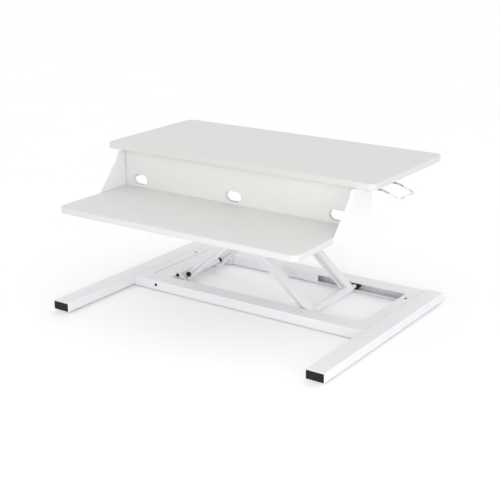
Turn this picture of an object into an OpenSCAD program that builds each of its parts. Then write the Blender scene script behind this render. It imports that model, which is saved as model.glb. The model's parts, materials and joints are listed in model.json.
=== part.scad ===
// Standing desk converter: a worktop and a keyboard tray on a scissor lift.
// X runs to the user's right, Y to the back and Z up. The user stands at -Y.
// The origin is under the middle of the whole object, at desk level.

/* [Worktop] */
// Width of the worktop
top_w = 800; // [720:10:900]
// Depth of the worktop
top_d = 365; // [340:5:420]
// Thickness of both boards
board_t = 16; // [15:1:19]
// Corner radius of the worktop seen from above
top_corner_r = 18; // [6:1:30]
// Height of the worktop surface above the desk as drawn
top_z = 409.5; // [400:0.5:420]
// Distance from the front ends of the base tubes to the worktop's front edge
top_y = 220; // [215:1:225]

/* [Keyboard tray] */
// Width of the keyboard tray
tray_w = 696; // [640:2:700]
// Distance that the tray reaches in front of the base tubes
tray_reach = 26; // [10:1:40]
// Corner radius of the tray seen from above
tray_corner_r = 18; // [6:1:24]
// Height of the tray surface above the desk as drawn
tray_z = 298; // [294:1:300]
// Thickness of the upright panel behind the tray
panel_t = 12; // [9:1:14]
// Length of each oblong cable hole
cable_hole_w = 48; // [36:1:60]
// Height of each oblong cable hole
cable_hole_h = 27; // [18:1:32]
// Distance between cable holes
cable_hole_pitch = 300; // [240:5:310]

/* [Base frame] */
// Distance across the outer faces of the base tubes
base_w = 818; // [818:2:840]
// Width of a base tube
tube_w = 50; // [45:1:50]
// Height of a base tube
tube_h = 25; // [25:1:30]
// Length of a base tube
tube_l = 614; // [612:1:660]
// Wall of the base tubes
tube_wall = 2; // [1.5:0.5:2.5]
// Height of the rubber feet
foot_h = 4.5; // [3:0.5:5]
// Height of the channel rails
rail_h = 26; // [26:1:27]
// Sheet thickness of the channel rails
rail_t = 1.6; // [1.2:0.2:1.6]

/* [Scissor lift] */
// Distance from the lower pivot to the middle of the object
pivot_left = 246; // [240:1:250]
// Horizontal distance spanned by an arm as drawn
arm_run = 418; // [410:1:420]
// Height of a pivot above the desk
pivot_z = 16.5; // [16.5:0.5:17]
// Width of an arm seen from the front
arm_h = 20; // [18:1:22]
// Thickness of an arm from front to back
arm_t = 25; // [20:1:25]
// Wall of the arm tubes
arm_wall = 1.5; // [1.2:0.1:2]
// Radius of the axles
axle_r = 5; // [4:0.5:5]
// Radius of the rollers
roller_r = 10.8; // [10:0.1:10.8]

/* [Gas spring] */
// Radius of the cylinder
spring_r = 11; // [10:0.5:12]
// Radius of the rod
spring_rod_r = 4; // [3:0.5:5]

/* [Release lever] */
// Radius of the lever's wire
wire_r = 2.25; // [2:0.25:2.5]
// Distance between the lever's two legs
wire_span = 74; // [60:1:80]
// Distance from the middle of the object to the lever's grip
wire_reach = 446; // [440:1:455]
// How far the grip hangs below the lever's pivot
wire_drop = 15.7; // [12:0.1:18]

/* [Hidden] */

$fn = 48;
hole_play = 0.06;
over = 1;

// Plan of the whole object
mid_x = (wire_reach + wire_r - base_w / 2) / 2;
mid_y = (tube_l - tray_reach) / 2;

// Pan-head screws into the underside of the worktop
screw_r = 2;
screw_head_r = 4.5;
screw_head_h = 2.4;

// Boards
board_z = top_z - board_t;
band_t = 1;
tray_back = top_y + 25;
panel_y = tray_back - panel_t;
panel_gap = 1.5;
tray_d = panel_y + tray_reach;
panel_w = tray_w - 2;
panel_hole_z = tray_z + 6 + cable_hole_h / 2;

// Side brackets
bracket_t = 3;
bracket_x = tray_w / 2;
bracket_front_y = 131;
bracket_top_y = 210;
bracket_back_y = 305;
bracket_step_y = tray_back - 2;
bracket_step_z = tray_z + 13;
bracket_nose_r = 14;
flange_w = 22;
flange_t = 2.5;
bracket_screw_x = bracket_x - flange_w / 2;
bracket_screw_y = [tray_back + 26, bracket_back_y - 9];
cable_z = board_z - 9.5;
cable_y = tray_back + 9;
cable_r = 2.2;

// Base
tube_x = base_w / 2 - tube_w;
tube_r = 3;
rail_z = 3.5;
rail_front_y = 263;
rail_rear_y = 557;
rail_d = 47;
rail_slot_h = 19;
rail_slot_left = 58;
rail_slot_right = 320;
web_gap = 2;
side_w = 31;
plate_gap = 4;
drain_y = 525;
drain_r = 3;
cap_in = 14;
cap_out = 0.8;
foot_r = 15;
foot_inset = 42;

// Scissor: the inner pair runs from lower left to upper right, the outer pair from upper left
arm_rise = board_z - pivot_z - 12.9;
arm_l = norm([arm_run, arm_rise]);
rest_angle = atan2(arm_rise, arm_run);
pivot_x = -pivot_left;
roller_x = pivot_x + arm_run;
upper_z = pivot_z + arm_rise;
arm_gap = 3;
outer_front_y = 313;
outer_rear_y = 514;
inner_front_y = outer_front_y + arm_t + arm_gap;
inner_rear_y = outer_rear_y - arm_t - arm_gap;
arm_mid_y = (outer_front_y + outer_rear_y + arm_t) / 2;
cross_along = 27;
cross_above = 3;
cross_r = 6.5;
roller_w = 18;
roller_front_y = rail_front_y + 8;
roller_rear_y = rail_rear_y + 5;
axle_front_y = rail_front_y + 4;
axle_rear_y = roller_rear_y + roller_w + 3;
upper_rail_d = 35;
upper_rail_left = 300;
upper_rail_right = 325;

// Pivot brackets
lug_t = 5;
lower_lug_front_y = 330;
lower_lug_rear_y = 550;
upper_lug_front_y = 303;
upper_lug_rear_y = 544;
lug_w = 70;
lug_r = 14;
plate_t = 2.5;
plate_screw_y = [345, 476, 495];
left_screw_x = [-270, -200];
right_screw_x = [-107, -73];
bolt_x = -258;
bolt_z = 31;

// Gas spring, drawn along its own axis from the upper eye
spring_left = 92.7;
spring_along = 311.2;
spring_below = 24.7;
spring_tube_along = spring_along + 45;
spring_tube_r = 9;
spring_lug_r = 8;
spring_upper = [-spring_left, upper_z];
spring_lower = [
    pivot_x + spring_along * cos(rest_angle) + spring_below * sin(rest_angle),
    pivot_z + spring_along * sin(rest_angle) - spring_below * cos(rest_angle)
];
spring_l = norm(spring_lower - spring_upper);
spring_lug_l = norm([spring_tube_along - spring_along, spring_below]);
spring_lug_tilt = atan2(spring_below, spring_tube_along - spring_along);
spring_angle = atan2(spring_upper[1] - spring_lower[1], spring_lower[0] - spring_upper[0]);
spring_body_start = 14;
spring_body_end = 122;
spring_rod_inner = 146;
spring_pin_r = 3.5;
spring_play = 2.4;
eye_r = 9;
eye_w = 12;

// Release lever
lever_y = 259;
lever_x = 376;
lever_z = board_z - 5.2;
lever_plate_t = 2;
lever_screw_y = [lever_y + 22, lever_y + wire_span - 22];
pin_bend_r = 5;
slope_bend_r = 8;
grip_bend_r = 11;
wire_out = 402 - lever_x;
wire_slope = atan2(wire_drop, wire_reach - lever_x - wire_out);
slope_l = (wire_reach - lever_x - wire_out) / cos(wire_slope) - slope_bend_r * tan(wire_slope)
    - grip_bend_r;

module place() {
    translate([-mid_x, -mid_y, 0])
        children();
}

// Outline of a rectangle with round corners, from its lower left corner
module round_rect(w, d, r) {
    translate([r, 0])
        square([w - 2 * r, d]);
    translate([0, r])
        square([w, d - 2 * r]);
    for (x = [r, w - r], y = [r, d - r])
        translate([x, y])
            circle(r);
}

// Outline of a board from its lower left corner: the back corners are round or square
module board_outline(w, d, r, square_back) {
    round_rect(w, d, r);
    if (square_back)
        translate([0, r])
            square([w, d - r]);
}

module board(w, d, r, y, z, inset, square_back) {
    translate([-w / 2 + inset, y + inset, z])
        linear_extrude(board_t)
            board_outline(w - 2 * inset, d - 2 * inset, r - inset, square_back);
}

module edge_band(w, d, r, y, z, square_back) {
    difference() {
        board(w, d, r, y, z, 0, square_back);
        translate([-w / 2 + band_t, y + band_t, z - over])
            linear_extrude(board_t + 2 * over)
                board_outline(w - 2 * band_t, d - 2 * band_t, r - band_t, square_back);
    }
}

// A cylinder along Y from y0 to y1
module rod(x, z, y0, y1, r) {
    translate([x, y0, z])
        rotate([-90, 0, 0])
            cylinder(r = r, h = y1 - y0);
}

// A pan-head screw with its head underneath at z, and the hole that its shaft fills
module screw_up(x, y, z, h) {
    translate([x, y, z - screw_head_h])
        cylinder(r = screw_head_r, h = screw_head_h);
    translate([x, y, z])
        cylinder(r = screw_r, h = h);
}

module screw_hole(x, y, z, h) {
    translate([x, y, z - over])
        cylinder(r = screw_r + hole_play, h = h + 2 * over);
}

module on_inner_arm() {
    translate([pivot_x, 0, pivot_z])
        rotate([0, -rest_angle, 0])
            children();
}

module on_outer_arm() {
    translate([pivot_x, 0, upper_z])
        rotate([0, rest_angle, 0])
            children();
}

module on_spring() {
    translate([spring_upper[0], arm_mid_y, spring_upper[1]])
        rotate([0, spring_angle, 0])
            children();
}

// Boards and panel

module worktop() {
    color("whitesmoke")
        place()
            board(top_w, top_d, top_corner_r, top_y, board_z, band_t, false);
}

module worktop_edge_band() {
    color("white")
        place()
            edge_band(top_w, top_d, top_corner_r, top_y, board_z, false);
}

module keyboard_tray() {
    color("whitesmoke")
        place()
            board(tray_w, tray_d, tray_corner_r, -tray_reach, tray_z - board_t, band_t, true);
}

module tray_edge_band() {
    color("white")
        place()
            edge_band(tray_w, tray_d, tray_corner_r, -tray_reach, tray_z - board_t, true);
}

module oblong_hole(x) {
    r = cable_hole_h / 2;
    for (side = [-1, 1])
        rod(x + side * (cable_hole_w / 2 - r), panel_hole_z, panel_y - over, tray_back + over, r);
    translate([x - cable_hole_w / 2 + r, panel_y - over, panel_hole_z - r])
        cube([cable_hole_w - 2 * r, panel_t + 2 * over, cable_hole_h]);
}

module back_panel() {
    color("gainsboro")
        place()
            difference() {
                translate([-panel_w / 2, panel_y, tray_z - board_t])
                    cube([panel_w, panel_t, board_z - panel_gap - tray_z + board_t]);
                for (i = [-1:1])
                    oblong_hole(i * cable_hole_pitch);
            }
}

// Upright sheet bracket: its rear foot is cut away so that it clears the base when lowered
module bracket_outline() {
    tray_under = tray_z - board_t;
    difference() {
        union() {
            polygon([
                [bracket_front_y, tray_under],
                [bracket_step_y, tray_under],
                [bracket_step_y, bracket_step_z],
                [bracket_back_y, bracket_step_z],
                [bracket_back_y, board_z],
                [bracket_top_y + bracket_nose_r, board_z],
                [bracket_top_y - 6, board_z - bracket_nose_r],
                [bracket_front_y, tray_z]
            ]);
            translate([bracket_top_y + 5, board_z - bracket_nose_r])
                circle(bracket_nose_r);
        }
        translate([cable_y, cable_z])
            circle(cable_r + 2);
    }
}

module side_bracket(side) {
    color("white")
        place() {
            translate([side > 0 ? bracket_x : -bracket_x - bracket_t, 0, 0])
                rotate([90, 0, 90])
                    linear_extrude(bracket_t)
                        bracket_outline();
            difference() {
                translate([
                    side > 0 ? bracket_x - flange_w : -bracket_x,
                    tray_back + 18,
                    board_z - flange_t
                ])
                    cube([flange_w, bracket_back_y - tray_back - 18, flange_t]);
                for (y = bracket_screw_y)
                    screw_hole(side * bracket_screw_x, y, board_z - flange_t, flange_t);
            }
            translate([
                side > 0 ? bracket_x - flange_w : -bracket_x - bracket_t,
                bracket_front_y + 4,
                tray_z - board_t - flange_t
            ])
                cube([flange_w + bracket_t, bracket_step_y - bracket_front_y - 8, flange_t]);
        }
}

// Frame under the worktop

module channel(x0, x1, y, z, d, h, open_back) {
    difference() {
        translate([x0, y, z])
            cube([x1 - x0, d, h]);
        translate([x0 - over, open_back ? y + rail_t : y - over, z + rail_t])
            cube([x1 - x0 + 2 * over, d - rail_t + over, h - 2 * rail_t]);
    }
}

module upper_rail_front() {
    color("white")
        place()
            difference() {
                channel(-upper_rail_left, upper_rail_right, rail_front_y, board_z - rail_h,
                    upper_rail_d, rail_h, true);
                translate([-spring_left - 9, rail_front_y - over, cable_z - 6])
                    cube([30, rail_t + 2 * over, 12]);
            }
}

module upper_rail_rear() {
    color("white")
        place()
            channel(-upper_rail_left, upper_rail_right, rail_rear_y, board_z - rail_h,
                upper_rail_d, rail_h, false);
}

module cross_plate(x, w, screw_x) {
    y0 = rail_front_y + upper_rail_d;
    difference() {
        translate([x, y0, board_z - plate_t])
            cube([w, rail_rear_y - y0, plate_t]);
        for (at = screw_x, y = plate_screw_y)
            screw_hole(at, y, board_z - plate_t, plate_t);
    }
}

module upper_cross_plate_left() {
    color("white")
        place()
            cross_plate(-290, 110, left_screw_x);
}

module upper_cross_plate_right() {
    color("white")
        place()
            cross_plate(-120, 60, right_screw_x);
}

// Lug plate that hangs from a cross plate and holds one end of the upper pivot axle
module upper_lug(y) {
    difference() {
        union() {
            translate([pivot_x - lug_w / 2, y, upper_z])
                cube([lug_w, lug_t, board_z - plate_t - upper_z]);
            rod(pivot_x, upper_z, y, y + lug_t, lug_r);
        }
        rod(pivot_x, upper_z, y - over, y + lug_t + over, axle_r + hole_play);
        translate([pivot_x - lug_w / 2, y - over, board_z - plate_t])
            cube([lug_w, lug_t + 2 * over, lug_r]);
    }
}

module upper_pivot_bracket_front() {
    color("white")
        place()
            upper_lug(upper_lug_front_y);
}

module upper_pivot_bracket_rear() {
    color("white")
        place()
            upper_lug(upper_lug_rear_y);
}

module spring_mount() {
    color("white")
        place()
            for (y = [arm_mid_y - eye_w / 2 - 4.5, arm_mid_y + eye_w / 2 + 0.5])
                difference() {
                    union() {
                        translate([-spring_left - 9, y, upper_z])
                            cube([18, 4, board_z - plate_t - upper_z]);
                        rod(-spring_left, upper_z, y, y + 4, 9);
                    }
                    rod(-spring_left, upper_z, y - over, y + 4 + over, spring_pin_r + hole_play);
                }
}

module spring_mount_pin() {
    color("dimgray")
        place() {
            rod(-spring_left, upper_z, arm_mid_y - 13, arm_mid_y + 13, spring_pin_r);
            rod(-spring_left, upper_z, arm_mid_y - 16, arm_mid_y - 13, 6);
        }
}

// Release lever, its mount and its cable

module lever_mount() {
    ear_y = [lever_y + 5, lever_y + wire_span - 8];
    color("white")
        place() {
            difference() {
                translate([lever_x - 14, lever_y + 5, board_z - lever_plate_t])
                    cube([30, wire_span - 10, lever_plate_t]);
                for (y = lever_screw_y)
                    screw_hole(lever_x, y, board_z - lever_plate_t, lever_plate_t);
            }
            for (y = ear_y)
                difference() {
                    translate([lever_x - 7, y, lever_z - 6])
                        cube([14, 3, board_z - lever_plate_t - lever_z + 6]);
                    rod(lever_x, lever_z, y - over, y + 3 + over, wire_r + hole_play);
                }
        }
}

// Identical pan-head screws that hold the brackets, the frame and the lever mount to the worktop
module board_screws() {
    color("silver")
        place() {
            for (side = [-1, 1], y = bracket_screw_y)
                screw_up(side * bracket_screw_x, y, board_z - flange_t, flange_t);
            for (x = concat(left_screw_x, right_screw_x), y = plate_screw_y)
                screw_up(x, y, board_z - plate_t, plate_t);
            for (y = lever_screw_y)
                screw_up(lever_x, y, board_z - lever_plate_t, lever_plate_t);
        }
}

// A bend of the lever's wire in the XY plane, about the local origin
module wire_bend(r, from, angle) {
    rotate([0, 0, from])
        rotate_extrude(angle = angle)
            translate([r, 0])
                circle(wire_r);
}

// One leg of the lever: pin, bend, straight under the board, bend, and the sloping stretch
module lever_leg(y, turn) {
    rod(lever_x, lever_z, turn > 0 ? y + pin_bend_r : y - 16, turn > 0 ? y + 16 : y - pin_bend_r, wire_r);
    translate([lever_x, y, lever_z]) {
        translate([pin_bend_r, turn * pin_bend_r, 0])
            wire_bend(pin_bend_r, turn > 0 ? 180 : 90, 90);
        translate([pin_bend_r, 0, 0])
            rotate([0, 90, 0])
                cylinder(r = wire_r, h = wire_out - pin_bend_r);
        translate([wire_out, 0, -slope_bend_r])
            rotate([90, 0, 0])
                wire_bend(slope_bend_r, 90 - wire_slope, wire_slope);
    }
}

// Places its children at the top of a leg's sloping stretch, with X down the slope
module on_slope(y) {
    translate([
        lever_x + wire_out + slope_bend_r * sin(wire_slope),
        y,
        lever_z - slope_bend_r * (1 - cos(wire_slope))
    ])
        rotate([0, wire_slope, 0])
            children();
}

module lever_wire() {
    far_y = lever_y + wire_span;
    color("white")
        place() {
            lever_leg(lever_y, 1);
            lever_leg(far_y, -1);
            for (y = [lever_y, far_y])
                on_slope(y)
                    rotate([0, 90, 0])
                        cylinder(r = wire_r, h = slope_l);
            on_slope(lever_y)
                translate([slope_l, grip_bend_r, 0])
                    wire_bend(grip_bend_r, -90, 90);
            on_slope(far_y)
                translate([slope_l, -grip_bend_r, 0])
                    wire_bend(grip_bend_r, 0, 90);
            on_slope(0)
                rod(slope_l + grip_bend_r, 0, lever_y + grip_bend_r, far_y - grip_bend_r, wire_r);
        }
}

// Block that ends the cable's outer sheath next to the lever
module cable_stop() {
    color("dimgray")
        place()
            difference() {
                translate([bracket_x + bracket_t, cable_y - 7, cable_z - 5])
                    cube([9, 8, board_z - cable_z + 5]);
                translate([bracket_x + bracket_t - over, cable_y, cable_z])
                    rotate([0, 90, 0])
                        cylinder(r = cable_r, h = 9 + 2 * over);
            }
}

module release_cable() {
    bend = 20;
    start_x = bracket_x + bracket_t + 9;
    turn_x = -spring_left + bend;
    color("black")
        place() {
            translate([turn_x, cable_y, cable_z])
                rotate([0, 90, 0])
                    cylinder(r = cable_r, h = start_x - turn_x);
            translate([turn_x, cable_y + bend, cable_z])
                rotate([0, 0, 180])
                    rotate_extrude(angle = 90)
                        translate([bend, 0])
                            circle(cable_r);
            rod(-spring_left, cable_z, cable_y + bend, arm_mid_y - 17, cable_r);
        }
}

module cable_clips() {
    color("dimgray")
        place()
            for (x = [280, 120, -30])
                difference() {
                    translate([x - 4, cable_y - 5, cable_z - 5])
                        cube([8, 10, board_z - cable_z + 5]);
                    translate([x - 4 - over, cable_y, cable_z])
                        rotate([0, 90, 0])
                            cylinder(r = cable_r, h = 8 + 2 * over);
                }
}

// Base

module base_tube(side) {
    color("white")
        place()
            translate([side > 0 ? tube_x : -tube_x - tube_w, tube_l, foot_h])
                rotate([90, 0, 0])
                    linear_extrude(tube_l)
                        difference() {
                            round_rect(tube_w, tube_h, tube_r);
                            translate([tube_wall, tube_wall])
                                round_rect(tube_w - 2 * tube_wall, tube_h - 2 * tube_wall, 1);
                        }
}

// Push-in cap: a face that fills the tube's mouth with a hollow collar behind it
module end_cap(side, back) {
    w = tube_w - 2 * tube_wall;
    h = tube_h - 2 * tube_wall;
    color("black")
        place()
            translate([side * (tube_x + tube_w / 2), back ? tube_l : 0, foot_h + tube_h / 2])
                rotate([90, 0, back ? 180 : 0]) {
                    translate([-w / 2, -h / 2, -4])
                        linear_extrude(4 + cap_out)
                            round_rect(w, h, 1);
                    translate([0, 0, -cap_in])
                        linear_extrude(cap_in - 4)
                            difference() {
                                translate([-w / 2 + 0.4, -h / 2 + 0.4])
                                    square([w - 0.8, h - 0.8]);
                                translate([-w / 2 + 2.4, -h / 2 + 2.4])
                                    square([w - 4.8, h - 4.8]);
                            }
                }
}

module rubber_feet() {
    color("dimgray")
        place()
            for (side = [-1, 1], y = [foot_inset, tube_l - foot_inset])
                translate([side * (tube_x + tube_w / 2), y, 0])
                    cylinder(r = foot_r, h = foot_h);
}

// Box rail with a slot in its inner side, along which the roller axle travels
module base_rail(y, slot_y) {
    difference() {
        translate([-tube_x, y, rail_z])
            cube([2 * tube_x, rail_d, rail_h]);
        translate([-tube_x - over, y + rail_t, rail_z + rail_t])
            cube([2 * (tube_x + over), rail_d - 2 * rail_t, rail_h - 2 * rail_t]);
        translate([rail_slot_left, slot_y - over, pivot_z - rail_slot_h / 2])
            cube([rail_slot_right - rail_slot_left, rail_t + 2 * over, rail_slot_h]);
    }
}

module base_rail_front() {
    color("white")
        place()
            base_rail(rail_front_y, rail_front_y + rail_d - rail_t);
}

module base_rail_rear() {
    color("white")
        place() {
            base_rail(rail_rear_y, rail_rear_y);
            translate([-tube_x, axle_rear_y + web_gap, rail_z + rail_t / 2])
                cube([2 * tube_x, rail_t, rail_h - rail_t]);
        }
}

// Box section beside a base tube, with an oblong drain hole in its top
module base_side(side) {
    y0 = rail_front_y + rail_d;
    h = rail_h - 1;
    color("white")
        place()
            translate([side > 0 ? tube_x - side_w : -tube_x, y0, rail_z])
                difference() {
                    cube([side_w, rail_rear_y - y0, h]);
                    translate([rail_t, -over, rail_t])
                        cube([side_w - 2 * rail_t, rail_rear_y - y0 + 2 * over, h - 2 * rail_t]);
                    for (y = [-4, 4])
                        translate([side_w / 2, drain_y - y0 + y, h - rail_t - over])
                            cylinder(r = drain_r, h = rail_t + 2 * over);
                    translate([side_w / 2 - drain_r, drain_y - y0 - 4, h - rail_t - over])
                        cube([2 * drain_r, 8, rail_t + 2 * over]);
                }
}

// Folded plate that joins the two rails beside the lower pivots
module base_cross_plate() {
    x0 = -tube_x + side_w + plate_gap;
    x1 = pivot_x - 20;
    y0 = rail_front_y + rail_d;
    y1 = rail_rear_y;
    color("white")
        place() {
            translate([x0, y0, rail_z + rail_h - plate_t])
                cube([x1 - x0, y1 - y0, plate_t]);
            translate([x1 - plate_t, y0, rail_z])
                cube([plate_t, y1 - y0, rail_h - plate_t]);
        }
}

// Upright lug with a sloped top that holds one end of the lower pivot axle
module lower_lug(y) {
    difference() {
        translate([0, y + lug_t, 0])
            rotate([90, 0, 0])
                linear_extrude(lug_t) {
                    polygon([
                        [pivot_x - 19, rail_z],
                        [pivot_x + 16, rail_z],
                        [pivot_x + 16, pivot_z],
                        [pivot_x - 4, bolt_z + 8],
                        [pivot_x - 19, bolt_z + 8]
                    ]);
                    translate([pivot_x + 4, pivot_z])
                        circle(12);
                    translate([bolt_x + 2, bolt_z])
                        circle(9);
                }
        rod(pivot_x, pivot_z, y - over, y + lug_t + over, axle_r + hole_play);
        rod(bolt_x, bolt_z, y - over, y + lug_t + over, 3);
    }
}

module lower_pivot_bracket_front() {
    color("white")
        place()
            lower_lug(lower_lug_front_y);
}

module lower_pivot_bracket_rear() {
    color("white")
        place()
            lower_lug(lower_lug_rear_y);
}

module lower_pivot_axle() {
    color("silver")
        place() {
            rod(pivot_x, pivot_z, lower_lug_front_y - 3, lower_lug_rear_y + lug_t, axle_r);
            rod(pivot_x, pivot_z, lower_lug_front_y - 6, lower_lug_front_y - 3, 7.5);
        }
}

module base_bolts() {
    color("black")
        place() {
            for (y = [lower_lug_front_y, lower_lug_rear_y]) {
                rod(bolt_x, bolt_z, y - 3, y, 4.5);
                rod(bolt_x, bolt_z, y, y + lug_t, 3);
            }
            rod(-282, pivot_z + 1, rail_front_y - 1.2, rail_front_y, 4);
        }
}

// Scissor arms

// Rectangular tube with closed round ends, bored at both ends and in the middle
module arm(y) {
    difference() {
        union() {
            difference() {
                translate([0, y, -arm_h / 2])
                    cube([arm_l, arm_t, arm_h]);
                translate([0, y + arm_wall, -arm_h / 2 + arm_wall])
                    cube([arm_l, arm_t - 2 * arm_wall, arm_h - 2 * arm_wall]);
            }
            for (x = [0, arm_l])
                rod(x, 0, y, y + arm_t, arm_h / 2);
            rod(arm_l / 2, 0, y + arm_wall, y + arm_t - arm_wall, 8);
        }
        for (x = [0, arm_l / 2, arm_l])
            rod(x, 0, y - over, y + arm_t + over, axle_r + hole_play);
        for (x = [30, arm_l - 30])
            translate([x, y + arm_t / 2, -arm_h / 2 - over])
                cylinder(r = 2.5, h = arm_wall + 2 * over);
    }
}

module inner_arm_front() {
    color("white")
        place()
            on_inner_arm()
                arm(inner_front_y);
}

module inner_arm_rear() {
    color("white")
        place()
            on_inner_arm()
                arm(inner_rear_y);
}

module outer_arm_front() {
    color("white")
        place()
            on_outer_arm()
                arm(outer_front_y);
}

module outer_arm_rear() {
    color("white")
        place()
            on_outer_arm()
                arm(outer_rear_y);
}

// Cross tube near the lower ends of the inner arms, with a black collar at each arm
module inner_arm_tube() {
    color("white")
        place()
            on_inner_arm()
                rod(cross_along, cross_above, inner_front_y + arm_t, inner_rear_y - 8, cross_r);
}

module inner_arm_collars() {
    color("black")
        place()
            on_inner_arm() {
                rod(cross_along, cross_above, inner_front_y - 4, inner_front_y, cross_r + 0.5);
                rod(cross_along, cross_above, inner_rear_y - 8, inner_rear_y, cross_r + 0.5);
            }
}

module spring_tube() {
    color("white")
        place()
            on_inner_arm()
                difference() {
                    rod(spring_tube_along, 0, inner_front_y + arm_t, inner_rear_y, spring_tube_r);
                    rod(spring_tube_along, 0, inner_front_y + arm_t - over, inner_rear_y + over,
                        spring_tube_r - arm_wall);
                }
}

module spring_lugs() {
    color("white")
        place()
            on_inner_arm()
                for (y = [arm_mid_y - eye_w / 2 - 5, arm_mid_y + eye_w / 2 + 1])
                    difference() {
                        translate([spring_along, y, -spring_below])
                            rotate([0, -spring_lug_tilt, 0]) {
                                translate([0, 0, -spring_lug_r])
                                    cube([spring_lug_l, 4, 2 * spring_lug_r]);
                                rod(0, 0, 0, 4, spring_lug_r);
                                rod(spring_lug_l, 0, 0, 4, spring_tube_r + 4);
                            }
                        rod(spring_along, -spring_below, y - over, y + 4 + over, spring_pin_r + hole_play);
                        rod(spring_tube_along, 0, y - over, y + 4 + over, spring_tube_r);
                    }
}

module spring_lug_pin() {
    color("dimgray")
        place()
            on_inner_arm() {
                rod(spring_along, -spring_below, arm_mid_y - 13, arm_mid_y + 13, spring_pin_r);
                rod(spring_along, -spring_below, arm_mid_y - 16, arm_mid_y - 13, 6);
            }
}

module sleeve(x, z, y0, y1, r = arm_h / 2) {
    difference() {
        rod(x, z, y0, y1, r);
        rod(x, z, y0 - over, y1 + over, axle_r + hole_play);
    }
}

module upper_axle_sleeve() {
    color("white")
        place() {
            sleeve(roller_x, upper_z, inner_front_y + arm_t, inner_rear_y);
            sleeve(roller_x, upper_z, roller_front_y + roller_w + 1, inner_front_y);
            sleeve(roller_x, upper_z, inner_rear_y + arm_t, roller_rear_y - 1);
        }
}

module lower_axle_sleeve() {
    color("white")
        place() {
            sleeve(roller_x, pivot_z, outer_front_y + arm_t, outer_rear_y);
            sleeve(roller_x, pivot_z, roller_front_y + roller_w + 1, outer_front_y, axle_r + 1);
            sleeve(roller_x, pivot_z, outer_rear_y + arm_t, roller_rear_y - 1, axle_r + 1);
        }
}

module upper_axle() {
    color("silver")
        place()
            rod(roller_x, upper_z, axle_front_y, axle_rear_y, axle_r);
}

module lower_axle() {
    color("silver")
        place()
            rod(roller_x, pivot_z, axle_front_y, axle_rear_y, axle_r);
}

module upper_pivot_axle() {
    color("silver")
        place() {
            rod(pivot_x, upper_z, upper_lug_front_y - 3, upper_lug_rear_y + lug_t + 3, axle_r);
            rod(pivot_x, upper_z, upper_lug_front_y - 5, upper_lug_front_y - 3, 7.5);
        }
}

// Pivot bolts where the arms cross, fixed in the inner arms
module centre_bolts() {
    mid_z = (pivot_z + upper_z) / 2;
    mid = pivot_x + arm_run / 2;
    color("silver")
        place() {
            rod(mid, mid_z, outer_front_y, inner_front_y + arm_t + 7, axle_r);
            rod(mid, mid_z, outer_front_y - 4, outer_front_y - 0.3, 8);
            rod(mid, mid_z, outer_front_y - 0.3, outer_front_y, axle_r);
            rod(mid, mid_z, inner_rear_y - 7, outer_rear_y + arm_t, axle_r);
            rod(mid, mid_z, outer_rear_y + arm_t + 0.3, outer_rear_y + arm_t + 4, 8);
            rod(mid, mid_z, outer_rear_y + arm_t, outer_rear_y + arm_t + 0.3, axle_r);
        }
}

module hex_nut(x, z, y, h) {
    difference() {
        translate([x, y, z])
            rotate([-90, 0, 0])
                cylinder(r = 9, h = h, $fn = 6);
        rod(x, z, y - over, y + h + over, axle_r);
    }
}

module centre_nuts() {
    mid_z = (pivot_z + upper_z) / 2;
    mid = pivot_x + arm_run / 2;
    color("silver")
        place() {
            hex_nut(mid, mid_z, inner_front_y + arm_t, 6);
            hex_nut(mid, mid_z, inner_rear_y - 6, 6);
        }
}

// Roller with a short hub on each side, free to turn on its axle
module roller(y, z) {
    color("black")
        place()
            difference() {
                union() {
                    rod(roller_x, z, y, y + roller_w, roller_r);
                    rod(roller_x, z, y - 0.8, y + roller_w + 0.8, axle_r + 2.5);
                }
                rod(roller_x, z, y - 2 * over, y + roller_w + 2 * over, axle_r + hole_play);
            }
}

// Gas spring

module spring_cylinder() {
    color("dimgray")
        place()
            on_spring()
                difference() {
                    union() {
                        rod(0, 0, -eye_w / 2, eye_w / 2, eye_r);
                        translate([0, -5, -6])
                            cube([spring_body_start + 2, 10, 12]);
                        translate([spring_body_start, 0, 0])
                            rotate([0, 90, 0])
                                cylinder(r = spring_r, h = spring_body_end - spring_body_start);
                    }
                    rod(0, 0, -eye_w / 2 - over, eye_w / 2 + over, spring_pin_r + hole_play);
                    translate([spring_body_start + 4, 0, 0])
                        rotate([0, 90, 0])
                            cylinder(r = spring_r - 1.5, h = spring_body_end - spring_body_start - 12);
                    translate([spring_body_end - 10, 0, 0])
                        rotate([0, 90, 0])
                            cylinder(r = spring_rod_r + hole_play, h = 10 + over);
                }
}

module spring_rod() {
    eye_hole_r = spring_pin_r + spring_play;
    color("silver")
        place()
            on_spring()
                difference() {
                    union() {
                        translate([spring_l - spring_rod_inner, 0, 0])
                            rotate([0, 90, 0])
                                cylinder(r = spring_rod_r, h = spring_rod_inner - eye_hole_r - 1);
                        translate([spring_l - spring_rod_inner, 0, 0])
                            rotate([0, 90, 0])
                                cylinder(r = spring_r - 1.6, h = 6);
                        rod(spring_l, 0, -eye_w / 2, eye_w / 2, eye_r);
                    }
                    rod(spring_l, 0, -eye_w / 2 - over, eye_w / 2 + over, eye_hole_r);
                }
}

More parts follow.
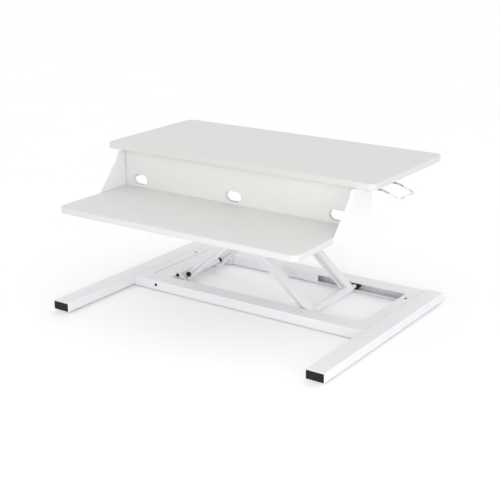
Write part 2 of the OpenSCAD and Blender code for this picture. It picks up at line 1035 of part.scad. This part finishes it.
worktop();
worktop_edge_band();
keyboard_tray();
tray_edge_band();
back_panel();
side_bracket(-1);  // side_bracket_left
side_bracket(1);  // side_bracket_right
board_screws();
upper_rail_front();
upper_rail_rear();
upper_cross_plate_left();
upper_cross_plate_right();
upper_pivot_bracket_front();
upper_pivot_bracket_rear();
spring_mount();
spring_mount_pin();
lever_mount();
cable_stop();
release_cable();
cable_clips();
base_tube(-1);  // base_tube_left
base_tube(1);  // base_tube_right
end_cap(-1, false);  // end_cap_front_left
end_cap(1, false);  // end_cap_front_right
end_cap(-1, true);  // end_cap_rear_left
end_cap(1, true);  // end_cap_rear_right
rubber_feet();
base_rail_front();
base_rail_rear();
base_side(-1);  // base_side_left
base_side(1);  // base_side_right
base_cross_plate();
lower_pivot_bracket_front();
lower_pivot_bracket_rear();
lower_pivot_axle();
base_bolts();
inner_arm_front();
inner_arm_rear();
inner_arm_tube();
inner_arm_collars();
spring_tube();
spring_lugs();
spring_lug_pin();
upper_axle_sleeve();
upper_axle();
centre_bolts();
centre_nuts();
outer_arm_front();
outer_arm_rear();
lower_axle_sleeve();
lower_axle();
upper_pivot_axle();
roller(roller_front_y, pivot_z);  // lower_roller_front
roller(roller_rear_y, pivot_z);  // lower_roller_rear
roller(roller_front_y, upper_z);  // upper_roller_front
roller(roller_rear_y, upper_z);  // upper_roller_rear
spring_cylinder();
spring_rod();
lever_wire();
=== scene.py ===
"""Looks of a standing desk converter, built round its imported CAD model. Lengths are in metres."""
import json
import math

import bmesh
import bpy
from mathutils import Matrix, Vector


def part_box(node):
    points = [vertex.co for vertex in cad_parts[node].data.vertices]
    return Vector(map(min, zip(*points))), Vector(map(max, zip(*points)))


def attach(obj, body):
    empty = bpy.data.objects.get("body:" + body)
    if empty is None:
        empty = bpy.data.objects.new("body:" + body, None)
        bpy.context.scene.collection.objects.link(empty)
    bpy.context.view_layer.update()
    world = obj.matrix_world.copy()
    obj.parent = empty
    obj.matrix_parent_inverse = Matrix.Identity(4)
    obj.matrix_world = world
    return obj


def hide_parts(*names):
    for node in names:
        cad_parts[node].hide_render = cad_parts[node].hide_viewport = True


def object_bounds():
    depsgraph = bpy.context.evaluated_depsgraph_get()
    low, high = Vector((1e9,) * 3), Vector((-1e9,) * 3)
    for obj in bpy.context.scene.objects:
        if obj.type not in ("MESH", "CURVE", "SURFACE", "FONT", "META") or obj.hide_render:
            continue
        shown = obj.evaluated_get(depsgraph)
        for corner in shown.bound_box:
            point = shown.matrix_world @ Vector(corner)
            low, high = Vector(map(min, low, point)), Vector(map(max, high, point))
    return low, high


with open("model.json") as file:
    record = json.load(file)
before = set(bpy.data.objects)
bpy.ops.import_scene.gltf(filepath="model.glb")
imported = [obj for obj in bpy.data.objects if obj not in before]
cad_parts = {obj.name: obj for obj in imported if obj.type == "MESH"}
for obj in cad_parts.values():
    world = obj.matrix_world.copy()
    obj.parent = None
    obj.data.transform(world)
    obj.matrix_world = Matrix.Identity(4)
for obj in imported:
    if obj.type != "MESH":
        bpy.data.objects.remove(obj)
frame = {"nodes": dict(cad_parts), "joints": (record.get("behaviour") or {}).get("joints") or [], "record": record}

CAD_LOW, CAD_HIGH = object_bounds()
NODES = frame["nodes"]
MM = 0.001
MERGE = 0.01 * MM
CORNER_R = 18 * MM
LUG_BEAD_R = 1.1 * MM
FINE_EDGE = 0.05 * MM
PIN_EYE_R = 9 * MM
PIN_EYE_HALF = 6 * MM


# ---------------------------------------------------------------- materials

def new_material(name):
    material = bpy.data.materials.new(name)
    material.use_nodes = True
    tree = material.node_tree
    shader = tree.nodes["Principled BSDF"]
    place = tree.nodes.new("ShaderNodeTexCoord").outputs["Object"]
    return material, tree, shader, place


def noise(tree, place, size, detail=2.0, roughness=0.5):
    """Noise whose features are about `size` metres across."""
    node = tree.nodes.new("ShaderNodeTexNoise")
    node.inputs["Scale"].default_value = 1.0 / size
    node.inputs["Detail"].default_value = detail
    node.inputs["Roughness"].default_value = roughness
    tree.links.new(place, node.inputs["Vector"])
    return node.outputs["Fac"]


def ramp(tree, factor, low, high, start=0.3, end=0.7):
    """Maps a factor to a colour between two colours."""
    node = tree.nodes.new("ShaderNodeValToRGB")
    node.color_ramp.elements[0].position = start
    node.color_ramp.elements[0].color = (*low, 1.0)
    node.color_ramp.elements[1].position = end
    node.color_ramp.elements[1].color = (*high, 1.0)
    tree.links.new(factor, node.inputs["Fac"])
    return node.outputs["Color"]


def span(tree, factor, low, high):
    """Maps a factor from 0..1 to low..high."""
    node = tree.nodes.new("ShaderNodeMapRange")
    node.inputs["To Min"].default_value = low
    node.inputs["To Max"].default_value = high
    tree.links.new(factor, node.inputs["Value"])
    return node.outputs["Result"]


def bump(tree, shader, *layers):
    """Stacks bump layers, each (height, depth in metres, strength)."""
    normal = None
    for height, depth, strength in layers:
        node = tree.nodes.new("ShaderNodeBump")
        node.inputs["Distance"].default_value = depth
        node.inputs["Strength"].default_value = strength
        tree.links.new(height, node.inputs["Height"])
        if normal is not None:
            tree.links.new(normal, node.inputs["Normal"])
        normal = node.outputs["Normal"]
    tree.links.new(normal, shader.inputs["Normal"])


def tint(colour, factor):
    return tuple(min(1.0, channel * factor) for channel in colour)


def painted_steel(name, colour):
    """Powder coat: even colour, orange peel about 1.5 mm across and a finer grain."""
    material, tree, shader, place = new_material(name)
    cloud = noise(tree, place, 60 * MM)
    peel = noise(tree, place, 1.6 * MM, 1.0)
    grain = noise(tree, place, 0.35 * MM, 1.0)
    tree.links.new(ramp(tree, cloud, tint(colour, 0.985), tint(colour, 1.01)), shader.inputs["Base Color"])
    tree.links.new(span(tree, peel, 0.34, 0.46), shader.inputs["Roughness"])
    bump(tree, shader, (peel, 0.12 * MM, 0.25), (grain, 0.03 * MM, 0.3))
    return material


def laminate(name, colour, shade=0.985):
    """Melamine face: a fine pearl texture and very faint cloudiness."""
    material, tree, shader, place = new_material(name)
    cloud = noise(tree, place, 90 * MM)
    pearl = noise(tree, place, 0.8 * MM, 3.0, 0.6)
    tree.links.new(ramp(tree, cloud, tint(colour, shade), tint(colour, 1.006)), shader.inputs["Base Color"])
    tree.links.new(span(tree, pearl, 0.42, 0.56), shader.inputs["Roughness"])
    bump(tree, shader, (pearl, 0.05 * MM, 0.35))
    return material


def moulded(name, colour, roughness=0.5, grain_size=0.5 * MM, depth=0.06 * MM):
    """Moulded plastic or rubber with a spark-eroded grain."""
    material, tree, shader, place = new_material(name)
    cloud = noise(tree, place, 12 * MM)
    grain = noise(tree, place, grain_size, 2.0)
    tree.links.new(ramp(tree, cloud, tint(colour, 0.8), tint(colour, 1.25)), shader.inputs["Base Color"])
    tree.links.new(span(tree, grain, roughness - 0.08, roughness + 0.1), shader.inputs["Roughness"])
    shader.inputs["Specular IOR Level"].default_value = 0.25
    bump(tree, shader, (grain, depth, 0.5))
    return material


def plated(name, colour, roughness=0.3):
    """Zinc or chrome plate: metallic, with fine turning marks and faint blotches."""
    material, tree, shader, place = new_material(name)
    shader.inputs["Metallic"].default_value = 1.0
    blotch = noise(tree, place, 5 * MM, 3.0)
    marks = noise(tree, place, 0.25 * MM, 1.0)
    tree.links.new(ramp(tree, blotch, tint(colour, 0.86), tint(colour, 1.05)), shader.inputs["Base Color"])
    tree.links.new(span(tree, marks, roughness - 0.06, roughness + 0.08), shader.inputs["Roughness"])
    bump(tree, shader, (marks, 0.02 * MM, 0.25))
    return material


STEEL_WHITE = (0.825, 0.822, 0.842)
MATERIALS = {
    "board_laminate": laminate("board_laminate", (0.712, 0.706, 0.692)),
    "edge_band": laminate("edge_band", (0.690, 0.684, 0.668), 0.99),
    "panel_laminate": laminate("panel_laminate", (0.775, 0.770, 0.755)),
    "white_steel": painted_steel("white_steel", STEEL_WHITE),
    "zinc_steel": plated("zinc_steel", (0.72, 0.72, 0.74), 0.32),
    "black_steel": moulded("black_steel", (0.016, 0.016, 0.017), 0.35, 0.3 * MM, 0.02 * MM),
    "black_plastic": moulded("black_plastic", (0.009, 0.009, 0.010), 0.5),
    "black_nylon": moulded("black_nylon", (0.007, 0.007, 0.008), 0.42, 0.8 * MM, 0.03 * MM),
    "grey_plastic": moulded("grey_plastic", (0.16, 0.16, 0.17), 0.5),
    "rubber_grey": moulded("rubber_grey", (0.09, 0.09, 0.09), 0.75, 0.4 * MM, 0.08 * MM),
    "spring_paint": moulded("spring_paint", (0.02, 0.02, 0.022), 0.28, 1.5 * MM, 0.05 * MM),
    "rod_chrome": plated("rod_chrome", (0.80, 0.80, 0.82), 0.12),
    "cable_sheath": moulded("cable_sheath", (0.018, 0.018, 0.018), 0.55, 0.6 * MM, 0.04 * MM),
    "lever_nickel": plated("lever_nickel", (0.80, 0.80, 0.81), 0.4),
}


def dress_cad_nodes():
    """Gives every CAD node its slot's material and slightly rounded, smooth-shaded edges."""
    slot_of = {part["node"]: part["material_slot"] for part in frame["record"]["subparts"]}
    edge_radius = {
        "white_steel": 0.5 * MM, "zinc_steel": 0.4 * MM, "black_steel": 0.5 * MM,
        "black_plastic": 0.7 * MM, "black_nylon": 0.6 * MM, "grey_plastic": 0.6 * MM,
        "rubber_grey": 0.8 * MM, "panel_laminate": 0.4 * MM, "board_laminate": 0.3 * MM,
        "edge_band": 0.8 * MM, "spring_paint": 0.5 * MM, "rod_chrome": 0.3 * MM,
        "cable_sheath": 0.2 * MM, "lever_nickel": 0.2 * MM,
    }
    for name, node in NODES.items():
        slot = slot_of[name]
        node.data.materials.clear()
        node.data.materials.append(MATERIALS[slot])
        soften(node, edge_radius[slot])


def soften(piece, radius, segments=3):
    weld = piece.modifiers.new("weld", "WELD")
    weld.merge_threshold = MERGE
    bevel = piece.modifiers.new("edges", "BEVEL")
    bevel.width = radius
    bevel.segments = segments
    bevel.limit_method = "ANGLE"
    bevel.angle_limit = math.radians(35)
    bevel.use_clamp_overlap = True
    normals = piece.modifiers.new("normals", "WEIGHTED_NORMAL")
    normals.keep_sharp = True
    for face in piece.data.polygons:
        face.use_smooth = True


# ---------------------------------------------------------------- mesh tools

def hexagon_reach(radius, angle):
    """Distance from the middle to the side of a hexagon whose corners lie at radius."""
    sector = math.pi / 3
    return radius * math.cos(sector / 2) / math.cos(angle % sector - sector / 2)


def add_turned(mesh, rings, at, along, segments=48, bored=False):
    """Adds a turned shape: each ring is (distance along the axis, radius) and may end in "hex"."""
    turn = Vector(along).normalized().to_track_quat("Z", "X").to_matrix()
    loops = []
    for distance, radius, *shape in rings:
        loop = []
        for step in range(segments):
            angle = 2 * math.pi * step / segments
            reach = hexagon_reach(radius, angle) if shape else radius
            local = Vector((reach * math.cos(angle), reach * math.sin(angle), distance))
            loop.append(mesh.verts.new(Vector(at) + turn @ local))
        loops.append(loop)
    followers = loops[1:] + loops[:1] if bored else loops[1:]
    for low, high in zip(loops, followers):
        for step in range(segments):
            after = (step + 1) % segments
            mesh.faces.new((low[step], low[after], high[after], high[step]))
    if not bored:
        mesh.faces.new(loops[0][::-1])
        mesh.faces.new(loops[-1])


def ripple(distance, pitch=1.3 * MM):
    """The overlapping scales of a weld, as a factor on the bead's radius."""
    return 0.84 + 0.16 * abs(math.sin(math.pi * distance / pitch))


def add_bead(mesh, start, end, radius=1.3 * MM):
    """Adds a straight weld bead with tapered ends."""
    start, end = Vector(start), Vector(end)
    length = (end - start).length
    steps = max(8, int(length / (0.45 * MM)))
    rings = []
    for step in range(steps + 1):
        distance = length * step / steps
        taper = min(1.0, 0.35 + min(distance, length - distance) / (3 * radius))
        rings.append((distance, radius * taper * ripple(distance)))
    add_turned(mesh, rings, start, end - start, segments=10)


def add_ring_bead(mesh, centre, along, ring_radius, radius=1.2 * MM):
    """Adds a weld bead that runs round a tube."""
    turn = Vector(along).normalized().to_track_quat("Z", "X").to_matrix()
    steps, sides = 96, 8
    loops = []
    for step in range(steps):
        angle = 2 * math.pi * step / steps
        reach = radius * ripple(angle * ring_radius)
        loop = []
        for side in range(sides):
            tilt = 2 * math.pi * side / sides
            out = ring_radius + reach * math.cos(tilt)
            local = Vector((out * math.cos(angle), out * math.sin(angle), reach * math.sin(tilt)))
            loop.append(mesh.verts.new(Vector(centre) + turn @ local))
        loops.append(loop)
    for low, high in zip(loops, loops[1:] + loops[:1]):
        for side in range(sides):
            after = (side + 1) % sides
            mesh.faces.new((low[side], high[side], high[after], low[after]))


def make_piece(name, mesh, slot, body, replaced=(), edge=0.2 * MM):
    """Turns a bmesh into a piece with its slot's material, riding on a body."""
    bmesh.ops.recalc_face_normals(mesh, faces=mesh.faces)
    data = bpy.data.meshes.new(name)
    mesh.to_mesh(data)
    mesh.free()
    data.materials.append(MATERIALS[slot])
    piece = bpy.data.objects.new(name, data)
    bpy.context.scene.collection.objects.link(piece)
    soften(piece, edge, 2)
    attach(piece, body)
    if replaced:
        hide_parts(*replaced)
    return piece


def middle(node):
    low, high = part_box(node)
    return (low + high) / 2


# ---------------------------------------------------------------- boards

def arc(centre, radius, start, steps=10):
    """A quarter circle of outline points, counter-clockwise from start in degrees."""
    angles = [math.radians(start + 90 * step / steps) for step in range(steps + 1)]
    return [(centre[0] + radius * math.cos(a), centre[1] + radius * math.sin(a)) for a in angles]


def board_outline(low, high, inset, square_back):
    """Outline of a board seen from above, counter-clockwise from its front right corner."""
    x0, x1, y0, y1 = low.x + inset, high.x - inset, low.y + inset, high.y - inset
    front_r = CORNER_R - inset
    back_r = (2 * MM if square_back else CORNER_R) - inset
    points = arc((x1 - front_r, y0 + front_r), front_r, 270)
    points += arc((x1 - back_r, y1 - back_r), back_r, 0)
    points += arc((x0 + back_r, y1 - back_r), back_r, 90)
    points += arc((x0 + front_r, y0 + front_r), front_r, 180)
    return points


def make_board(name, board_node, band_node, square_back, edge_r=1.6 * MM):
    """Laminated board: flat faces, and an edge band whose long edges are rounded over."""
    low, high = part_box(band_node)
    steps = 5
    rings = []
    for step in range(steps + 1):
        angle = math.pi / 2 * step / steps
        rings.append((edge_r * (1 - math.sin(angle)), low.z + edge_r * (1 - math.cos(angle))))
    rings += [(inset, low.z + high.z - height) for inset, height in reversed(rings)]
    mesh = bmesh.new()
    loops = []
    for inset, height in rings:
        outline = board_outline(low, high, inset, square_back)
        loops.append([mesh.verts.new((x, y, height)) for x, y in outline])
    for below, above in zip(loops, loops[1:]):
        for i in range(len(below)):
            after = (i + 1) % len(below)
            side = mesh.faces.new((below[i], below[after], above[after], above[i]))
            side.material_index = 1
    for cap in (loops[0][::-1], loops[-1]):
        rim = mesh.faces.new(cap)
        bmesh.ops.inset_region(mesh, faces=[rim], thickness=4 * MM, use_even_offset=True)
    piece = make_piece(name, mesh, "board_laminate", "top", (board_node, band_node), FINE_EDGE)
    piece.data.materials.append(MATERIALS["edge_band"])


# ---------------------------------------------------------------- fasteners

def socket_head(mesh, face, along, radius, height):
    """Bolt head with a rounded rim and a hexagon socket. It stands on face and points along."""
    socket = radius * 0.52
    rim = radius * 0.16
    rings = [
        (0, radius), (height - rim, radius), (height - rim * 0.3, radius - rim * 0.3),
        (height, radius - rim), (height, socket + rim * 0.4), (height - rim * 0.4, socket, "hex"),
        (height * 0.35, socket, "hex"), (height * 0.25, socket * 0.3),
    ]
    add_turned(mesh, rings, face, along)


def pan_head(mesh, face, along, radius, height):
    """Domed screw head with a small hexagon socket."""
    socket = radius * 0.42
    rings = [(0, radius), (height * 0.3, radius)]
    for step in range(1, 6):
        angle = math.radians(15 * step)
        rings.append((height * (0.3 + 0.7 * math.sin(angle)), radius * math.cos(angle) ** 0.5))
    rings += [(height, socket * 1.12), (height * 0.92, socket, "hex"), (height * 0.3, socket, "hex")]
    rings.append((height * 0.25, socket * 0.3))
    add_turned(mesh, rings, face, along, segments=36)


def solid_islands(node):
    """Lowest and highest corner of each separate solid in a CAD node."""
    mesh = bmesh.new()
    mesh.from_mesh(NODES[node].data)
    bmesh.ops.remove_doubles(mesh, verts=mesh.verts, dist=MERGE)
    mesh.verts.ensure_lookup_table()
    left = set(mesh.verts)
    islands = []
    for start in list(mesh.verts):
        if start not in left:
            continue
        left.discard(start)
        queue, found = [start], []
        while queue:
            vert = queue.pop()
            found.append(vert.co.copy())
            for edge in vert.link_edges:
                other = edge.other_vert(vert)
                if other in left:
                    left.discard(other)
                    queue.append(other)
        low = Vector([min(p[axis] for p in found) for axis in range(3)])
        high = Vector([max(p[axis] for p in found) for axis in range(3)])
        islands.append((low, high))
    mesh.free()
    return islands


def make_board_screws():
    """Pan heads under the worktop, one at each place where the CAD node has a screw."""
    mesh = bmesh.new()
    head_h = 2.4 * MM
    for low, high in solid_islands("board_screws"):
        radius = (high.x - low.x) / 2
        centre = (low + high) / 2
        face = Vector((centre.x, centre.y, low.z + head_h))
        pan_head(mesh, face, (0, 0, -1), radius, head_h)
        washer_r = radius + 1.2 * MM
        washer_bore = radius * 0.9
        washer_low, washer_high = -0.05 * MM, 0.5 * MM
        rings = [
            (washer_low, washer_r), (washer_high, washer_r),
            (washer_high, washer_bore), (washer_low, washer_bore),
        ]
        add_turned(mesh, rings, face, (0, 0, -1), segments=36, bored=True)
        add_turned(mesh, [(0, radius * 0.42), (high.z - face.z, radius * 0.42)], face, (0, 0, 1), 24)
    make_piece("worktop_screws", mesh, "zinc_steel", "top", ("board_screws",))


def make_base_bolts():
    """Cap-head bolts of the lower pivot brackets, and the small one in the front rail."""
    mesh = bmesh.new()
    for low, high in solid_islands("base_bolts"):
        radius = (high.x - low.x) / 2
        centre = (low + high) / 2
        small = high.y - low.y < 2 * MM
        height = high.y - low.y if small else 3 * MM
        face = Vector((centre.x, low.y + height, centre.z))
        socket_head(mesh, face, (0, -1, 0), radius, height)
        if not small:
            add_turned(mesh, [(0, radius * 0.62), (high.y - face.y, radius * 0.62)], face, (0, 1, 0), 32)
    make_piece("base_cap_bolts", mesh, "black_steel", "base", ("base_bolts",))


def make_centre_bolts():
    """Low round heads of the bolts on which the two pairs of arms cross, with nylon washers."""
    centre = middle("centre_bolts")
    low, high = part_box("centre_bolts")
    head_r, head_h = 8 * MM, 3.7 * MM
    heads = bmesh.new()
    for y, along in ((low.y, -1), (high.y, 1)):
        face = Vector((centre.x, y - along * head_h, centre.z))
        socket_head(heads, face, (0, along, 0), head_r, head_h)
    for y, along in ((low.y + 4 * MM, 1), (high.y - 4 * MM, -1)):
        shaft = [(0, 5 * MM), (63 * MM, 5 * MM)]
        add_turned(heads, shaft, (centre.x, y, centre.z), (0, along, 0), 40)
    make_piece("crossing_bolts", heads, "zinc_steel", "inner_arms", ("centre_bolts",))
    washers = bmesh.new()
    front_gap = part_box("outer_arm_front")[1].y
    rear_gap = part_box("inner_arm_rear")[1].y
    for y in (front_gap, rear_gap):
        rings = [(0.4, 5.2), (0.4, 11.5), (0.7, 12), (2.3, 12), (2.6, 11.5), (2.6, 5.2)]
        scaled = [(distance * MM, radius * MM) for distance, radius in rings]
        add_turned(washers, scaled, (centre.x, y, centre.z), (0, 1, 0), bored=True)
    make_piece("crossing_washers", washers, "black_nylon", "inner_arms")


# ---------------------------------------------------------------- rollers and feet

def make_roller(node, body):
    """Nylon roller: crowned tread, chamfers, a recess in each side and a raised hub."""
    low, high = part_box(node)
    centre = (low + high) / 2
    radius = (high.x - low.x) / 2
    half = (high.y - low.y) / 2
    tread = half - 0.8 * MM
    bore = 5.1 * MM
    side = [
        (-half, bore), (-half, bore + 2.1 * MM), (-half + 0.3 * MM, bore + 2.4 * MM),
        (-tread + 1.4 * MM, bore + 2.4 * MM), (-tread + 1.4 * MM, radius - 2.2 * MM),
        (-tread, radius - 1.9 * MM), (-tread, radius - 0.9 * MM), (-tread + 0.8 * MM, radius - 0.15 * MM),
        (-tread * 0.4, radius),
    ]
    rings = side + [(-distance, reach) for distance, reach in reversed(side)]
    mesh = bmesh.new()
    add_turned(mesh, rings, centre, (0, 1, 0), segments=72, bored=True)
    make_piece(body, mesh, "black_nylon", body, (node,), 0.15 * MM)


def make_feet():
    """Rubber feet: tapered pads with a ribbed rim and a sunk screw."""
    low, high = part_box("rubber_feet")
    radius = high.x - middle("base_tube_right").x
    height = high.z - low.z
    mesh = bmesh.new()
    screws = bmesh.new()
    for x in (low.x + radius, high.x - radius):
        for y in (low.y + radius, high.y - radius):
            rings = [
                (0, radius * 0.55), (0, radius * 0.93), (0.5 * MM, radius), (height * 0.5, radius * 0.97),
                (height * 0.62, radius * 0.9), (height, radius * 0.9),
            ]
            dish = [(height * 0.45, radius * 0.3), (height * 0.4, radius * 0.5)]
            add_turned(mesh, dish + rings, (x, y, low.z), (0, 0, 1), 56)
            pan_head(screws, (x, y, low.z + height * 0.45), (0, 0, -1), radius * 0.26, height * 0.3)
    make_piece("foot_pads", mesh, "rubber_grey", "base", ("rubber_feet",), 0.15 * MM)
    make_piece("foot_screws", screws, "zinc_steel", "base")


# ---------------------------------------------------------------- gas spring

def spring_frame():
    """The gas spring's upper eye, its direction and the distance to its lower pin."""
    joints = {joint["name"]: joint for joint in frame["joints"]}
    upper = Vector(joints["spring_swing"]["pos_m"])
    along = Vector(joints["spring_extend"]["axis"]).normalized()
    return upper, along, (middle("spring_lug_pin") - upper).dot(along)


def add_eye(mesh, centre, outer, bore, half):
    chamfer = 0.8 * MM
    rings = [
        (-half, bore + chamfer * 0.5), (-half, outer - chamfer), (-half + chamfer, outer),
        (half - chamfer, outer), (half, outer - chamfer), (half, bore + chamfer * 0.5),
        (half - chamfer * 0.5, bore), (-half + chamfer * 0.5, bore),
    ]
    add_turned(mesh, rings, centre, (0, 1, 0), bored=True)


def make_gas_spring():
    """Cylinder with a rolled-in gland end, polished rod, and an eye at each end."""
    upper, along, length = spring_frame()
    mesh = bmesh.new()
    add_eye(mesh, upper, PIN_EYE_R, 3.6 * MM, PIN_EYE_HALF)
    body = [
        (8, 5.5), (14, 5.5), (14, 9.0), (14.8, 10.3), (16.5, 11), (104, 11), (105, 10.6), (106.2, 10.1),
        (107.4, 10.6), (108.4, 11), (118, 11), (120.5, 10.2), (121.6, 8.6), (122, 6.5), (121, 6.2),
        (121, 4.4), (60, 4.4),
    ]
    add_turned(mesh, [(d * MM, r * MM) for d, r in body], upper, along, 56)
    make_piece("gas_cylinder_shell", mesh, "spring_paint", "gas_cylinder", ("spring_cylinder",))
    rod = bmesh.new()
    start, stop = length - 146 * MM, length - 7.5 * MM
    add_turned(rod, [(start, 4 * MM), (stop, 4 * MM)], upper, along, 40)
    make_piece("gas_rod_shaft", rod, "rod_chrome", "gas_rod", ("spring_rod",), 0.3 * MM)
    end = bmesh.new()
    add_eye(end, upper + along * length, PIN_EYE_R, 5.9 * MM, PIN_EYE_HALF)
    neck = [(length - 22 * MM, 5.4 * MM), (length - 8.2 * MM, 5.4 * MM)]
    add_turned(end, neck, upper, along, 6)
    make_piece("gas_rod_eye", end, "zinc_steel", "gas_rod", (), 0.4 * MM)


# ---------------------------------------------------------------- welds

def make_base_welds():
    """Beads where the rails and side boxes meet the base tubes and the lugs meet their plate."""
    mesh = bmesh.new()
    for rail in ("base_rail_front", "base_rail_rear"):
        low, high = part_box(rail)
        for x in (low.x, high.x):
            for part in (0.18, 0.72):
                y = low.y + (high.y - low.y) * part
                add_bead(mesh, (x, y - 6 * MM, high.z - 0.3 * MM), (x, y + 6 * MM, high.z - 0.3 * MM))
    for side in ("base_side_left", "base_side_right"):
        low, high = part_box(side)
        tube_side = low.x if side.endswith("left") else high.x
        for part in (0.15, 0.5, 0.85):
            y = low.y + (high.y - low.y) * part
            add_bead(mesh, (tube_side, y - 12 * MM, high.z), (tube_side, y + 12 * MM, high.z))
    for lug in ("lower_pivot_bracket_front", "lower_pivot_bracket_rear"):
        low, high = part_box(lug)
        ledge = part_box("base_cross_plate")[1]
        for y in (low.y, high.y):
            add_bead(mesh, (low.x + MM, y, ledge.z), (ledge.x, y, ledge.z), LUG_BEAD_R)
    make_piece("base_welds", mesh, "white_steel", "base", (), FINE_EDGE)


def make_arm_welds(name, body, sleeve, arms):
    """Beads round the axle sleeve on both faces of its two arms."""
    centre = middle(sleeve)
    radius = (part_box(sleeve)[1].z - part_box(sleeve)[0].z) / 2
    mesh = bmesh.new()
    inner_faces = (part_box(arms[0])[1].y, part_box(arms[1])[0].y)
    for y in inner_faces:
        add_ring_bead(mesh, (centre.x, y, centre.z), (0, 1, 0), radius)
    make_piece(name, mesh, "white_steel", body, (), FINE_EDGE)


def make_top_welds():
    """Beads under the worktop: lugs and spring mount on their cross plates."""
    mesh = bmesh.new()
    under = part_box("upper_cross_plate_left")[0].z
    for lug in ("upper_pivot_bracket_front", "upper_pivot_bracket_rear"):
        low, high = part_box(lug)
        for y in (low.y, high.y):
            for x in (low.x, high.x - 20 * MM):
                add_bead(mesh, (x, y, under), (x + 20 * MM, y, under), LUG_BEAD_R)
    low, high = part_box("spring_mount")
    for y in (low.y, high.y):
        add_bead(mesh, (low.x, y, under), (high.x, y, under), LUG_BEAD_R)
    make_piece("top_frame_welds", mesh, "white_steel", "top", (), FINE_EDGE)


# ---------------------------------------------------------------- release cable

def make_cable_ends():
    """Ferrules at both ends of the sheath, and the inner wire with its nipple at the lever."""
    stop_low, stop_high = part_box("cable_stop")
    cable_low, cable_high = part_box("release_cable")
    radius = (cable_high.z - cable_low.z) / 2
    height = (cable_low.z + cable_high.z) / 2
    start = Vector((stop_high.x, cable_low.y + radius, height))
    ferrules = bmesh.new()
    collar = [
        (0, 1.25), (0.6, 1.45), (4.0, 1.45), (4.4, 1.2),
        (5.2, 1.2), (5.6, 1.35), (9.0, 1.35), (9.4, 0.9),
    ]
    grown = [(distance * MM, factor * radius) for distance, factor in collar]
    add_turned(ferrules, grown, start - Vector((stop_high.x - stop_low.x, 0, 0)), (-1, 0, 0), 32)
    end = Vector((cable_low.x + radius, cable_high.y, height))
    add_turned(ferrules, grown, end + Vector((0, 6 * MM, 0)), (0, -1, 0), 32)
    make_piece("cable_ferrules", ferrules, "zinc_steel", "top")
    wire = bmesh.new()
    reach = 13 * MM
    add_turned(wire, [(-2 * MM, 0.75 * MM), (reach, 0.75 * MM)], start, (1, 0, 0), 16)
    nipple = [(-1.5 * MM, 1.7 * MM), (1.5 * MM, 1.7 * MM)]
    add_turned(wire, nipple, start + Vector((reach, 0, 0)), (1, 0, 0), 24)
    make_piece("cable_inner_wire", wire, "lever_nickel", "top", (), 0.3 * MM)


def make_details():
    make_board("worktop_board", "worktop", "worktop_edge_band", False)
    make_board("tray_board", "keyboard_tray", "tray_edge_band", True)
    make_board_screws()
    make_base_bolts()
    make_centre_bolts()
    for place in ("lower_front", "lower_rear", "upper_front", "upper_rear"):
        level, end = place.split("_")
        make_roller(f"{level}_roller_{end}", f"roller_{place}")
    make_feet()
    make_gas_spring()
    make_base_welds()
    for level, pair in (("lower", "outer"), ("upper", "inner")):
        arms = (f"{pair}_arm_front", f"{pair}_arm_rear")
        make_arm_welds(f"{level}_sleeve_welds", f"{pair}_arms", f"{level}_axle_sleeve", arms)
    make_top_welds()
    make_cable_ends()


# ---------------------------------------------------------------- stage

def make_floor():
    mesh = bpy.data.meshes.new("floor")
    half = 12.0
    mesh.from_pydata(
        [(-half, -half, 0), (half, -half, 0), (half, half, 0), (-half, half, 0)], [], [(0, 1, 2, 3)]
    )
    floor = bpy.data.objects.new("floor", mesh)
    bpy.context.scene.collection.objects.link(floor)
    floor.location.z = CAD_LOW.z - 0.1 * MM
    material, tree, shader, place = new_material("floor")
    cloud = noise(tree, place, 0.4)
    tree.links.new(ramp(tree, cloud, (0.93, 0.93, 0.94), (0.94, 0.94, 0.95)), shader.inputs["Base Color"])
    shader.inputs["Roughness"].default_value = 0.9
    shader.inputs["Specular IOR Level"].default_value = 0.1
    shader.inputs["Emission Color"].default_value = (1, 1, 1, 1)
    shader.inputs["Emission Strength"].default_value = 0.09
    mesh.materials.append(material)


def area_light(name, place, target, size, power):
    data = bpy.data.lights.new(name, "AREA")
    data.shape = "RECTANGLE"
    data.size, data.size_y = size
    data.energy = power
    light = bpy.data.objects.new(name, data)
    bpy.context.scene.collection.objects.link(light)
    light.location = place
    light.rotation_mode = "QUATERNION"
    light.rotation_quaternion = (Vector(target) - Vector(place)).to_track_quat("-Z", "Y")


def make_lights():
    world = bpy.data.worlds.new("studio")
    bpy.context.scene.world = world
    world.use_nodes = True
    background = world.node_tree.nodes["Background"]
    background.inputs["Color"].default_value = (1.0, 1.0, 1.0, 1.0)
    background.inputs["Strength"].default_value = 0.97
    area_light("key_right", (2.2, -1.0, 0.6), (0, 0, 0.2), (1.0, 0.7), 6)
    area_light("low_front", (0.9, -1.7, 0.62), (0.1, 0, 0.2), (0.25, 0.25), 6)


def make_camera():
    """Camera at the viewing angle given by its yaw, pitch and roll."""
    yaw, pitch, roll = math.radians(34.45), math.radians(18.26), math.radians(-0.17)
    place = Vector((1.4866, -2.1824, 1.0359))
    ahead = Vector((-math.sin(yaw) * math.cos(pitch), math.cos(yaw) * math.cos(pitch), -math.sin(pitch)))
    level = Vector((math.cos(yaw), math.sin(yaw), 0))
    over = level.cross(ahead)
    right = level * math.cos(roll) + over * math.sin(roll)
    up = over * math.cos(roll) - level * math.sin(roll)
    data = bpy.data.cameras.new("camera")
    data.sensor_width = 36.0
    data.lens = 78.0
    camera = bpy.data.objects.new("camera", data)
    bpy.context.scene.collection.objects.link(camera)
    turn = Matrix((right, up, -ahead)).transposed().to_4x4()
    camera.matrix_world = Matrix.Translation(place) @ turn
    bpy.context.scene.camera = camera


bpy.context.scene.view_settings.view_transform = "Standard"
dress_cad_nodes()
make_details()
make_floor()
make_lights()
make_camera()
